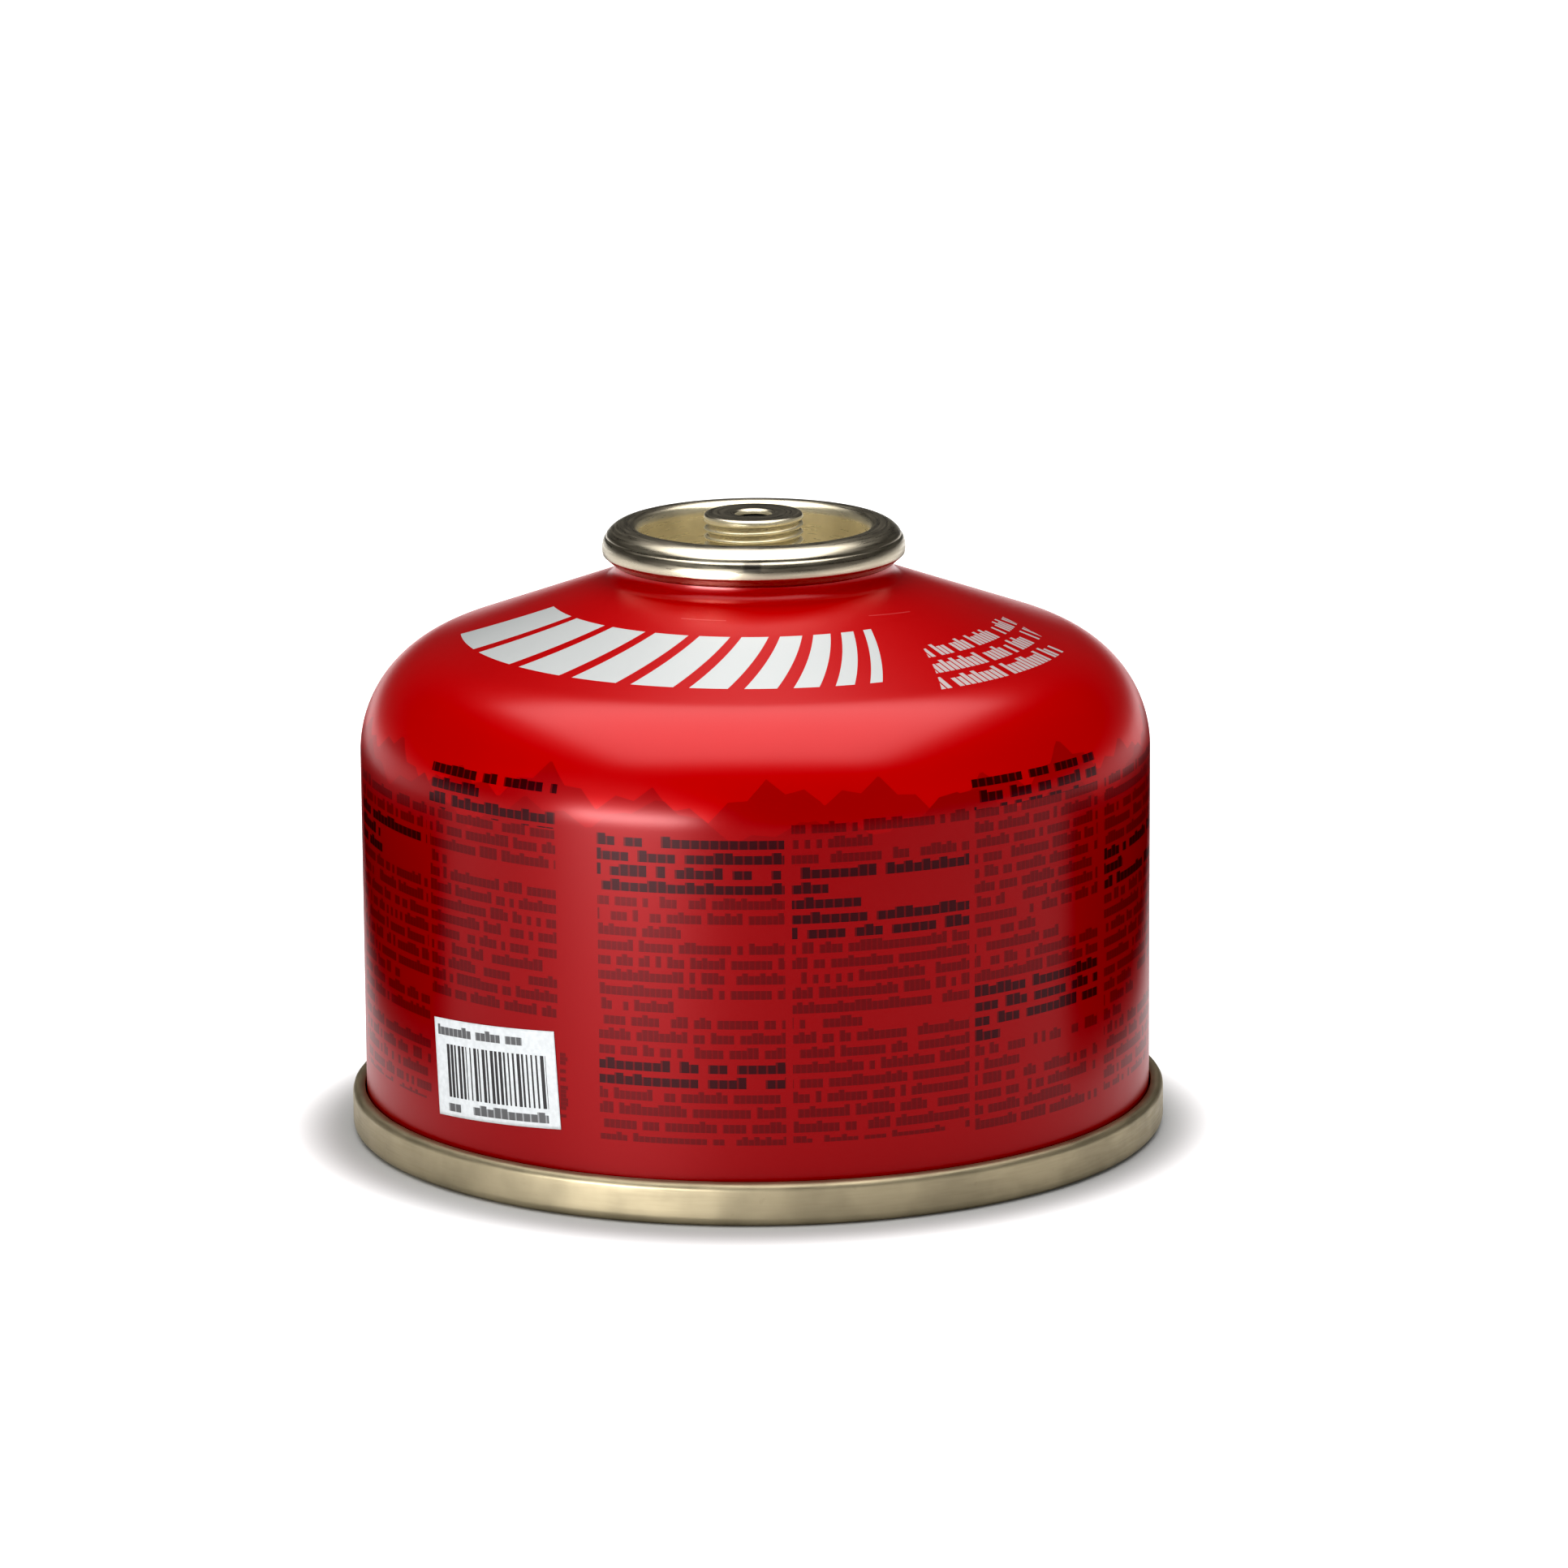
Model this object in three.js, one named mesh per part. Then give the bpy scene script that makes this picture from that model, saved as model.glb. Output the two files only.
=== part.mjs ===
// Screw-on gas canister, low and wide, as stoves and lanterns use it.
// It is put together like the real one: a drawn steel can holding its filling, a base end rolled on
// with a double seam, and a valve cup crimped over the neck curl with a sprung valve in its stud.
// Millimetres, +Z up, origin at the centre of the face that the base seam stands on.

import * as THREE from 'three';

// Drawn steel can
const wallRadius = 43.4;
const wallTop = 42.4;
const shoulderRadius = 12.9;
const coneSlope = THREE.MathUtils.degToRad(20);
const neckRadius = 15.25;
const neckFillet = 1.8;
const neckLength = 1.66;

// Base end and its double seam
const seamThickness = 1.45;
const seamHeight = 4.7;
const seamTopRound = 0.8;
const seamFootRound = 1.1;
const seamFootSheet = 1.1;
const bodyHookThickness = 0.75;
const endSheet = 0.5;
const chuckWallHeight = 3.6;
const chuckFillet = 1.5;
const baseDomeRadius = 125;

// Valve cup: bead over the neck curl, wall, floor and threaded stud
const cupSheet = 0.4;
const beadCentreInset = 1.35;
const beadRadius = 2.7;
const beadInnerRound = 1.3;
const beadLipAngle = THREE.MathUtils.degToRad(12);
const beadLipSlope = THREE.MathUtils.degToRad(41.5);
const cupGasketThickness = 0.5;
const cupFloorDepth = 5.9;
const cupFloorFillet = 1.1;

// Stud with the rolled 7/16-28 thread
const threadMajorRadius = 5.45;
const threadDepth = 0.5;
const threadPitch = 25.4 / 28;
const threadTurns = 5.6;
const threadRunout = 0.35;
const studHeight = 7;
const studEdgeRound = 0.5;
const studFootFillet = 0.6;
const studMouthRadius = 1.9;
const studMouthChamfer = 0.15;

// Valve in the stud
const stemGasketThickness = 1.2;
const stemGasketHole = 1.5;
const stemTipHeight = 0.7;
const stemDiscThickness = 1.2;
const stemSpindleRadius = 1.1;
const stemSpindleLength = 3.6;
const stemTravel = 1.5;
const housingWall = 0.7;
const housingFloor = 1.0;
const housingLength = 14.5;
const housingTailHole = 0.8;
const springWireRadius = 0.3;
const springCoilRadius = 2.1;
const springTurns = 6;

// Gaps between pieces that touch, and the running gap of the valve stem
const crimpGap = 0.15;
const gasketGap = 0.1;
const fillingGap = 0.3;
const runningGap = 0.3;

// Faces round the axis
const canSides = 60;
const cupSides = 36;
const valveSides = 24;
const threadRowsPerTurn = 4;

// Finishes
const redLacquer = new THREE.MeshStandardMaterial({ color: 0xb8101c, roughness: 0.28, metalness: 0.2 });
const goldLacquer = new THREE.MeshStandardMaterial({ color: 0xc3b48c, roughness: 0.25, metalness: 1 });
const blackRubber = new THREE.MeshStandardMaterial({ color: 0x17171a, roughness: 0.8, metalness: 0 });
const whitePlastic = new THREE.MeshStandardMaterial({ color: 0xe2e0d8, roughness: 0.5, metalness: 0 });
const springSteel = new THREE.MeshStandardMaterial({ color: 0xb4b6ba, roughness: 0.3, metalness: 1 });

const quarterTurn = Math.PI / 2;

function point(radius, height) {
  return new THREE.Vector2(radius, height);
}

// Points of a round stretch of a profile. Angles start at the outward direction and turn upwards.
function arc(centreRadius, centreHeight, radius, startAngle, endAngle, steps) {
  const points = [];
  for (let i = 0; i <= steps; i += 1) {
    const angle = startAngle + (endAngle - startAngle) * (i / steps);
    points.push(point(centreRadius + radius * Math.cos(angle), centreHeight + radius * Math.sin(angle)));
  }
  return points;
}

// A solid of revolution about +Z. A profile runs up its outer side and down its inner side.
// It starts and ends on the axis, or closes on itself as a ring.
function turned(profile, sides) {
  const onAxis = profile[0].x === 0;
  const outline = onAxis ? profile : [...profile, profile[0].clone()];
  const geometry = new THREE.LatheGeometry(outline, sides);
  geometry.rotateX(quarterTurn);
  return geometry;
}

function piece(name, geometry, material) {
  const mesh = new THREE.Mesh(geometry, material);
  mesh.name = name;
  return mesh;
}

// Shoulder, cone and neck of the can, from the wall up to where the neck curl starts
const shoulderEnd = quarterTurn - coneSlope;
const shoulderCentre = wallRadius - shoulderRadius;
const coneStartRadius = shoulderCentre + shoulderRadius * Math.cos(shoulderEnd);
const coneStartHeight = wallTop + shoulderRadius * Math.sin(shoulderEnd);
const coneAtNeck = coneStartHeight + (coneStartRadius - neckRadius) * Math.tan(coneSlope);
const neckFilletTop = coneAtNeck + neckFillet * Math.tan(shoulderEnd / 2);
const beadCentreRadius = neckRadius - beadCentreInset;
const beadCentreHeight = neckFilletTop + neckLength;

// Places that several pieces share
const seamInnerRadius = wallRadius + crimpGap;
const seamOuterRadius = seamInnerRadius + seamThickness;
const endWallOuterRadius = wallRadius - bodyHookThickness - crimpGap;
const endWallInnerRadius = endWallOuterRadius - endSheet;
const curlRadius = beadRadius - cupSheet - cupGasketThickness - 2 * gasketGap;
const cupWallInnerRadius = beadCentreRadius - beadInnerRound;
const cupWallOuterRadius = cupWallInnerRadius + cupSheet;
const beadTop = beadCentreHeight + beadRadius;
const beadInnerHeight = beadTop - beadInnerRound;
const cupFloorTop = beadTop - cupFloorDepth;
const cupFloorUnderside = cupFloorTop - cupSheet;
const studTop = cupFloorTop + studHeight;
const threadRootRadius = threadMajorRadius - threadDepth;
const studBoreRadius = threadRootRadius - cupSheet;
const studPlateUnderside = studTop - cupSheet;
const studBoreRound = studEdgeRound - cupSheet;
const stemGasketTop = studPlateUnderside - gasketGap;
const stemGasketUnderside = stemGasketTop - stemGasketThickness;
const housingRadius = studBoreRadius - crimpGap;
const housingBore = housingRadius - housingWall;
const housingTop = stemGasketUnderside - gasketGap;
const housingBottom = housingTop - housingLength;
const housingFloorTop = housingBottom + housingFloor;
const stemDiscTop = stemGasketUnderside - gasketGap;
const stemDiscUnderside = stemDiscTop - stemDiscThickness;
const stemStopLedge = stemDiscUnderside - stemTravel - gasketGap;

// The underside of the base end is a shallow dome, hollow from below, whose edge runs through a
// fillet into the upright chuck wall. Each surface of the end, and the filling above it, is the same
// line moved outwards by a distance.
function baseDomeLine(distance) {
  const wall = endWallInnerRadius + distance;
  const fillet = chuckFillet + distance;
  const filletRadiusCentre = wall - fillet;
  const domeRadius = baseDomeRadius + distance;
  const edgeAngle = Math.acos(filletRadiusCentre / (domeRadius - fillet));
  const domeCentreHeight = chuckWallHeight - (domeRadius - fillet) * Math.sin(edgeAngle);
  return [
    ...arc(filletRadiusCentre, chuckWallHeight, fillet, 0, edgeAngle, 3),
    ...arc(0, domeCentreHeight, domeRadius, edgeAngle, quarterTurn, 4).slice(1, -1),
    point(0, domeCentreHeight + domeRadius),
  ];
}

// Can body: wall, shoulder, cone, neck and curl, with the filling inside as one solid.
// Its hook runs down into the double seam, and a pocket in the neck takes the valve cup.
function makeCanisterBody() {
  const curlStart = -Math.acos((neckRadius - beadCentreRadius) / curlRadius);
  const pocketRadius = cupWallOuterRadius + crimpGap;
  const curlEnd = Math.PI - Math.acos((beadCentreRadius - pocketRadius) / curlRadius);
  const pocketFloor = cupFloorUnderside - fillingGap;
  const valvePocketRadius = housingRadius + fillingGap;
  const valvePocketFloor = housingBottom - fillingGap;
  const hookBottom = seamFootSheet + crimpGap;
  const fillingLine = baseDomeLine(endSheet + crimpGap).reverse();
  const profile = [
    ...fillingLine,
    point(wallRadius - bodyHookThickness, hookBottom),
    point(wallRadius, hookBottom),
    ...arc(shoulderCentre, wallTop, shoulderRadius, 0, shoulderEnd, 8),
    ...arc(neckRadius + neckFillet, neckFilletTop, neckFillet, Math.PI + shoulderEnd, Math.PI, 3),
    ...arc(beadCentreRadius, beadCentreHeight, curlRadius, curlStart, curlEnd, 7),
    point(pocketRadius, pocketFloor),
    point(valvePocketRadius, pocketFloor),
    point(valvePocketRadius, valvePocketFloor),
    point(0, valvePocketFloor),
  ];
  return piece('canister_body', turned(profile, canSides), redLacquer);
}

// Base end: the seam ring that the canister stands on, the chuck wall inside it and the domed panel.
function makeBaseEnd() {
  const foot = seamFootRound;
  const panelUnderside = baseDomeLine(0).reverse();
  const panelTop = baseDomeLine(endSheet);
  const profile = [
    ...panelUnderside,
    ...arc(endWallInnerRadius + foot, foot, foot, Math.PI, 1.5 * Math.PI, 3),
    ...arc(seamOuterRadius - foot, foot, foot, -quarterTurn, 0, 4),
    ...arc(seamOuterRadius - seamTopRound, seamHeight - seamTopRound, seamTopRound, 0, quarterTurn, 3),
    point(seamInnerRadius, seamHeight),
    point(seamInnerRadius, seamFootSheet),
    point(endWallOuterRadius, seamFootSheet),
    ...panelTop,
  ];
  return piece('base_end', turned(profile, canSides), goldLacquer);
}

// One side of the valve cup's bead: from the lip that is crimped under the neck curl, over the crown
// and round into the cup's wall. The inside is the same line, a sheet thickness away.
function beadLine(inset) {
  const radius = beadRadius - inset;
  const lipStart = arc(beadCentreRadius, beadCentreHeight, radius, -beadLipAngle, -beadLipAngle, 1)[0];
  const lipEndRadius = neckRadius + crimpGap;
  const lipDrop = (lipStart.x - lipEndRadius) * Math.tan(beadLipSlope);
  return [
    point(lipEndRadius, lipStart.y - lipDrop),
    ...arc(beadCentreRadius, beadCentreHeight, radius, -beadLipAngle, quarterTurn, 6),
    ...arc(beadCentreRadius, beadInnerHeight, beadInnerRound - inset, quarterTurn, Math.PI, 4).slice(1),
  ];
}

// The rolled thread's radius at an angle and a height: a rounded ridge that climbs one pitch a turn,
// right-handed. It rises from the plain root at the foot, and its groove runs out into the stud's cap.
function threadRadius(angle, height, threadFoot, threadHead) {
  const phase = height / threadPitch - angle / (2 * Math.PI);
  const fromFoot = THREE.MathUtils.clamp((height - threadFoot) / threadRunout, 0, 1);
  const fromHead = THREE.MathUtils.clamp((threadHead - height) / threadRunout, 0, 1);
  const ridge = (0.5 + 0.5 * Math.cos(2 * Math.PI * phase)) * fromFoot;
  return threadMajorRadius - threadDepth * (1 - ridge) * fromHead;
}

// Valve cup, drawn from one sheet: bead, wall, floor and the stud, with the thread rolled into it.
function makeValveCup() {
  const threadHead = studTop - studEdgeRound;
  const threadFoot = threadHead - threadTurns * threadPitch;
  const threadRows = Math.round(threadTurns * threadRowsPerTurn);
  const wallFillet = cupFloorFillet;
  const outerFillet = cupFloorFillet + cupSheet;
  const footFillet = studFootFillet;
  const footUnderFillet = studFootFillet + cupSheet;
  const threadBand = [];
  for (let i = 0; i < threadRows; i += 1) {
    threadBand.push(point(threadRootRadius, threadFoot + (threadHead - threadFoot) * (i / threadRows)));
  }
  const cavitySide = [
    ...beadLine(0),
    ...arc(cupWallInnerRadius - wallFillet, cupFloorTop + wallFillet, wallFillet, 0, -quarterTurn, 3),
    ...arc(threadRootRadius + footFillet, cupFloorTop + footFillet, footFillet,
      1.5 * Math.PI, Math.PI, 2),
    ...threadBand,
    ...arc(threadMajorRadius - studEdgeRound, threadHead, studEdgeRound, 0, quarterTurn, 3),
    point(studMouthRadius + studMouthChamfer, studTop),
    point(studMouthRadius, studTop - studMouthChamfer),
  ];
  const underSide = [
    point(studMouthRadius, studPlateUnderside),
    ...arc(studBoreRadius - studBoreRound, studPlateUnderside - studBoreRound, studBoreRound,
      quarterTurn, 0, 2),
    ...arc(studBoreRadius + footUnderFillet, cupFloorUnderside + footUnderFillet, footUnderFillet,
      Math.PI, 1.5 * Math.PI, 2),
    ...arc(cupWallOuterRadius - outerFillet, cupFloorUnderside + outerFillet, outerFillet,
      -quarterTurn, 0, 3),
    ...beadLine(cupSheet).reverse(),
  ];
  const geometry = turned([...cavitySide, ...underSide], cupSides);
  const position = geometry.attributes.position;
  for (let i = 0; i < position.count; i += 1) {
    const x = position.getX(i);
    const y = position.getY(i);
    const height = position.getZ(i);
    const onThread = Math.abs(Math.hypot(x, y) - threadRootRadius) < gasketGap
      && height > threadFoot && height < threadHead;
    if (onThread) {
      const angle = Math.atan2(y, x);
      const radius = threadRadius(angle, height, threadFoot, threadHead);
      position.setXY(i, radius * Math.cos(angle), radius * Math.sin(angle));
    }
  }
  return piece('valve_cup', geometry, goldLacquer);
}

// Rubber ring pressed between the neck curl and the cup's bead.
function makeCupGasket() {
  const inner = curlRadius + gasketGap;
  const outer = inner + cupGasketThickness;
  const profile = [
    ...arc(beadCentreRadius, beadCentreHeight, inner, quarterTurn, 0, 4),
    ...arc(beadCentreRadius, beadCentreHeight, outer, 0, quarterTurn, 4),
  ];
  return piece('cup_gasket', turned(profile, cupSides), blackRubber);
}

// Rubber washer under the stud's top plate. The valve stem seals against it from below.
function makeStemGasket() {
  const profile = [
    point(stemGasketHole, stemGasketUnderside),
    point(housingRadius, stemGasketUnderside),
    point(housingRadius, stemGasketTop - studBoreRound),
    point(housingRadius - studBoreRound, stemGasketTop),
    point(stemGasketHole, stemGasketTop),
  ];
  return piece('stem_gasket', turned(profile, valveSides), blackRubber);
}

// Valve housing: a moulded cup that clamps the washer. The stem's disc runs in its upper bore down to
// a ledge, and the narrower bore below the ledge holds the spring.
function makeValveHousing() {
  const springBore = springCoilRadius + springWireRadius + runningGap;
  const profile = [
    point(housingTailHole, housingBottom),
    point(housingRadius, housingBottom),
    point(housingRadius, housingTop),
    point(housingBore, housingTop),
    point(housingBore, stemStopLedge),
    point(springBore, stemStopLedge),
    point(springBore, housingFloorTop),
    point(housingTailHole, housingFloorTop),
  ];
  return piece('valve_housing', turned(profile, valveSides), whitePlastic);
}

// Valve stem: the tip that a stove's pin pushes down, the sealing disc and the spindle in the spring.
function makeValveStem() {
  const tipTop = stemDiscTop + stemTipHeight;
  const tipRadius = stemGasketHole - runningGap;
  const spindleBottom = stemDiscUnderside - stemSpindleLength;
  const discRadius = housingBore - runningGap;
  const profile = [
    point(0, spindleBottom),
    point(stemSpindleRadius, spindleBottom),
    point(stemSpindleRadius, stemDiscUnderside),
    point(discRadius, stemDiscUnderside),
    point(discRadius, stemDiscTop),
    point(tipRadius, stemDiscTop),
    point(tipRadius, tipTop),
    point(0, tipTop),
  ];
  return piece('valve_stem', turned(profile, valveSides), whitePlastic);
}

// Coil spring between the housing's floor and the stem's disc.
class Helix extends THREE.Curve {
  constructor(bottom, top) {
    super();
    this.bottom = bottom;
    this.top = top;
  }

  getPoint(t, target = new THREE.Vector3()) {
    const angle = 2 * Math.PI * springTurns * t;
    const height = this.bottom + (this.top - this.bottom) * t;
    return target.set(springCoilRadius * Math.cos(angle), springCoilRadius * Math.sin(angle), height);
  }
}

function makeValveSpring() {
  const wireSides = 6;
  const stepsPerTurn = 10;
  const bottom = housingFloorTop + gasketGap + springWireRadius;
  const top = stemDiscUnderside - gasketGap - springWireRadius;
  const section = new THREE.Shape();
  section.absarc(0, 0, springWireRadius, 0, 2 * Math.PI);
  const geometry = new THREE.ExtrudeGeometry(section, {
    curveSegments: wireSides / 2,
    steps: springTurns * stepsPerTurn,
    extrudePath: new Helix(bottom, top),
  });
  return piece('valve_spring', geometry, springSteel);
}

const canister = new THREE.Group();
canister.add(makeCanisterBody());
canister.add(makeBaseEnd());

const valve = new THREE.Group();
valve.add(makeValveCup());
valve.add(makeCupGasket());
valve.add(makeStemGasket());
valve.add(makeValveHousing());
valve.add(makeValveStem());
valve.add(makeValveSpring());
canister.add(valve);

export default canister;
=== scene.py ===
# Screw-on gas canister: red printed steel can, gold base end and gold valve cup with a threaded stud.
import math

import bpy
import numpy as np
from mathutils import Matrix, Vector


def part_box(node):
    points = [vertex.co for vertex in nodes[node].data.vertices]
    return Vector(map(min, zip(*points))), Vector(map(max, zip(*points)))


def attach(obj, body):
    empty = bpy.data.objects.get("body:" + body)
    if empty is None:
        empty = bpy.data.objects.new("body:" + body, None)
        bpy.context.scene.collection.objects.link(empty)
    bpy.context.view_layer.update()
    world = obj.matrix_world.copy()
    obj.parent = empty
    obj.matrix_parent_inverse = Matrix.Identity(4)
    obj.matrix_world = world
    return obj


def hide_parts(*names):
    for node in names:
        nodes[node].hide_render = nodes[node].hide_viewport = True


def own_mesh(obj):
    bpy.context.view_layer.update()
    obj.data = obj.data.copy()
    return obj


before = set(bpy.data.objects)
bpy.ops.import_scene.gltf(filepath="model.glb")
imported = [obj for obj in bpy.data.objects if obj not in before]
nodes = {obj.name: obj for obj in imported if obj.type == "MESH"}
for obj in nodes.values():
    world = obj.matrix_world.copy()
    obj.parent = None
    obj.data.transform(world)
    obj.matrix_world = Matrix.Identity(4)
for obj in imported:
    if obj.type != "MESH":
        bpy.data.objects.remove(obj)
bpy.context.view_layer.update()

mm = 0.001


# Drawn can
# A cup drawn from steel sheet: straight wall, round shoulder, a cone up to the neck and a curl that
# the valve cup is crimped over. Its foot runs down into the double seam of the base end.
can_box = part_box("canister_body")
wall_radius = can_box[1].x
hook_bottom = can_box[0].z
wall_top = 42.4 * mm
shoulder_radius = 12.9 * mm
cone_slope = math.radians(20)
neck_radius = 15.25 * mm
neck_fillet = 1.8 * mm
curl_inset = 1.35 * mm
curl_radius = 1.6 * mm
curl_height = 64.6 * mm
curl_end = 118
curl_tail_inset = 0.8 * mm
curl_tail_top, curl_tail_foot = 66.0 * mm, 61.0 * mm
neck_inside = (13.1 * mm, 60.7 * mm)
cone_inside = (16.5 * mm, 60.2 * mm)
hook_thickness = 0.7 * mm
wall_flare = 0.16 * mm
wall_flare_height = 5.3 * mm
wall_flare_spread = 0.45 * mm
can_sides = 288


def arc(centre, radius, start, end, steps):
    """Points of a round stretch: centre plus radius times (cosine, sine) of angles from start to end."""
    angle = np.radians(np.linspace(start, end, steps + 1))
    return np.stack([centre[0] + radius * np.cos(angle), centre[1] + radius * np.sin(angle)], axis=1)


def line(start, end, steps):
    """Evenly spaced points from start to end, without the two ends."""
    share = np.linspace(0, 1, steps + 1)[1:-1, None]
    return np.array(start) * (1 - share) + np.array(end) * share


def add_mesh(name, points, faces, body, replaced=None, slot=None):
    """Makes a smooth mesh object from points and faces, seats it on its body and, where it dresses a solid,
    takes that solid's place."""
    mesh = bpy.data.meshes.new(name)
    mesh.from_pydata(points.tolist(), [], faces)
    mesh.polygons.foreach_set("use_smooth", np.ones(len(mesh.polygons), bool))
    mesh.validate()
    piece = bpy.data.objects.new(name, mesh)
    bpy.context.scene.collection.objects.link(piece)
    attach(piece, body)
    if replaced:
        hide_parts(replaced)
    return piece


def joined(points, quads):
    """Keeps the points that quads use and turns each quad with a repeated corner into a triangle."""
    used, compact = np.unique(quads, return_inverse=True)
    faces = [list(dict.fromkeys(face)) for face in compact.reshape(-1, 4).tolist()]
    return points.reshape(-1, 3)[used], faces


def turned(profile, sides, swell=None):
    """Surface of revolution: each profile row (radius, height) becomes a ring of points
    (radius sin a, -radius cos a, height), and rows on the axis become one point. A profile that
    doesn't start on the axis closes on itself. swell(angle, radius, height) adds to each point's radius."""
    profile = np.asarray(profile, float)
    angle = np.arange(sides) / sides * 2 * math.pi
    radius = np.repeat(profile[:, :1], sides, axis=1)
    height = np.repeat(profile[:, 1:], sides, axis=1)
    if swell is not None:
        radius = radius + swell(angle[None, :], radius, height)
    points = np.stack([radius * np.sin(angle), -radius * np.cos(angle), height], axis=2)
    count = len(profile)
    index = np.arange(count * sides).reshape(count, sides)
    following = np.roll(index, -1, axis=1)
    closed = profile[0, 0] > 1e-9
    rows = np.arange(count if closed else count - 1)
    after = (rows + 1) % count
    quads = np.stack([index[rows], following[rows], following[after], index[after]], axis=2).reshape(-1, 4)
    if closed:
        return points.reshape(-1, 3), quads.tolist()
    quads[quads < sides] = 0
    quads[quads >= (count - 1) * sides] = (count - 1) * sides
    return joined(points, quads)


shoulder_centre = (wall_radius - shoulder_radius, wall_top)
cone_angle = 90 - math.degrees(cone_slope)
cone_start = arc(shoulder_centre, shoulder_radius, cone_angle, cone_angle, 1)[0]
cone_at_neck = cone_start[1] + (cone_start[0] - neck_radius) * math.tan(cone_slope)
neck_centre = (neck_radius + neck_fillet, cone_at_neck + neck_fillet * math.tan(math.radians(cone_angle / 2)))
neck_arc = arc(neck_centre, neck_fillet, 180 + cone_angle, 180, 10)
curl_centre = (neck_radius - curl_inset, curl_height)
curl_start = -math.degrees(math.acos(curl_inset / curl_radius))
curl_tail = curl_centre[0] - curl_tail_inset
inside_radius = wall_radius - hook_thickness
shell_thickness = 0.5 * mm
can_profile = np.concatenate([
    [(inside_radius, hook_bottom), (wall_radius, hook_bottom)],
    line((wall_radius, hook_bottom), (wall_radius, wall_flare_height), 4),
    line((wall_radius, wall_flare_height), (wall_radius, wall_top), 40),
    arc(shoulder_centre, shoulder_radius, 0, cone_angle, 36),
    line(cone_start, neck_arc[0], 14),
    neck_arc,
    arc(curl_centre, curl_radius, curl_start, curl_end, 16),
    line((curl_tail, curl_tail_top), (curl_tail, curl_tail_foot), 6),
    [neck_inside, cone_inside],
    arc(shoulder_centre, shoulder_radius - shell_thickness, cone_angle, 0, 12),
    line((inside_radius, wall_top), (inside_radius, hook_bottom), 6),
])


def seam_flare(angle, radius, height):
    """The wall swells by a hair where the seam rollers pressed above the seam: a bell curve in height."""
    outside = radius > wall_radius - 0.1 * mm
    return outside * wall_flare * np.exp(-((height - wall_flare_height) / wall_flare_spread) ** 2)


can_points, can_faces = turned(can_profile, can_sides, seam_flare)
can_shell = add_mesh("can_shell", can_points, can_faces, "can", "canister_body", "red_lacquer")


class Shade:
    """A shader socket that takes part in sums like a number. An expression adds its Math nodes."""

    def __init__(self, socket):
        self.socket = socket
        self.tree = socket.id_data

    def node(self, kind, settings, inputs, output=0):
        """Adds a node of a type, sets its settings, then its input values or links, and returns an output."""
        made = self.tree.nodes.new(kind)
        for name, value in settings.items():
            setattr(made, name, value)
        for name, value in inputs.items():
            if isinstance(value, Shade):
                self.tree.links.new(value.socket, made.inputs[name])
            else:
                made.inputs[name].default_value = value
        return Shade(made.outputs[output])

    def maths(self, operation, *others):
        return self.node("ShaderNodeMath", {"operation": operation}, dict(enumerate((self, *others))))

    def __add__(self, other):
        return self.maths("ADD", other)

    def __radd__(self, other):
        return self.maths("ADD", other)

    def __sub__(self, other):
        return self.maths("SUBTRACT", other)

    def __rsub__(self, other):
        return self.node("ShaderNodeMath", {"operation": "SUBTRACT"}, {0: other, 1: self})

    def __mul__(self, other):
        return self.maths("MULTIPLY", other)

    def __rmul__(self, other):
        return self.maths("MULTIPLY", other)

    def __truediv__(self, other):
        return self.maths("DIVIDE", other)

    def __gt__(self, other):
        return self.maths("GREATER_THAN", other)

    def __lt__(self, other):
        return self.maths("LESS_THAN", other)

    def within(self, low, high):
        """1 between two values, 0 outside."""
        return (self > low) * (self < high)

    def smooth(self, low, high, at_low=0.0, at_high=1.0):
        """Eases from at_low to at_high as the value goes from low to high."""
        return self.node("ShaderNodeMapRange", {"interpolation_type": "SMOOTHSTEP"},
                         {"Value": self, "From Min": low, "From Max": high,
                          "To Min": at_low, "To Max": at_high})

    def mix(self, first, second):
        """Blends two colours by this value."""
        return self.node("ShaderNodeMix", {"data_type": "RGBA"}, {0: self, 6: first, 7: second}, 2)

    def noise(self, scale, detail=2.0, roughness=0.5):
        """Smooth noise at this point."""
        return self.node("ShaderNodeTexNoise", {"noise_dimensions": "3D"},
                         {"Vector": self, "Scale": scale, "Detail": detail, "Roughness": roughness})

    def bump(self, strength, distance):
        """A bumped normal from this height."""
        return self.node("ShaderNodeBump", {}, {"Height": self, "Strength": strength, "Distance": distance})


def finish_of(name, *pieces):
    """Makes a material for pieces and returns its Principled shader and the Object coordinates."""
    material = bpy.data.materials.new(name)
    material.use_nodes = True
    for piece in pieces:
        piece.data.materials.clear()
        piece.data.materials.append(material)
    tree = material.node_tree
    shader = tree.nodes["Principled BSDF"]
    place = tree.nodes.new("ShaderNodeTexCoord").outputs["Object"]
    return shader, Shade(place)


def feed(shader, **inputs):
    """Sets the shader's sockets: a Shade is linked, anything else is the socket's own value."""
    for name, value in inputs.items():
        socket = shader.inputs[name.replace("_", " ")]
        if isinstance(value, Shade):
            value.tree.links.new(value.socket, socket)
        else:
            socket.default_value = value


def pick(place, axis):
    """One coordinate of a point, in millimetres."""
    return place.node("ShaderNodeSeparateXYZ", {}, {0: place}, axis) * (1 / mm)


def chance(column, row, seed):
    """A random number from 0 to 1 for each cell, the same for the whole cell."""
    cell = column.node("ShaderNodeCombineXYZ", {}, {0: column, 1: row, 2: float(seed)})
    return column.node("ShaderNodeTexWhiteNoise", {"noise_dimensions": "3D"}, {"Vector": cell}, "Value")


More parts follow.
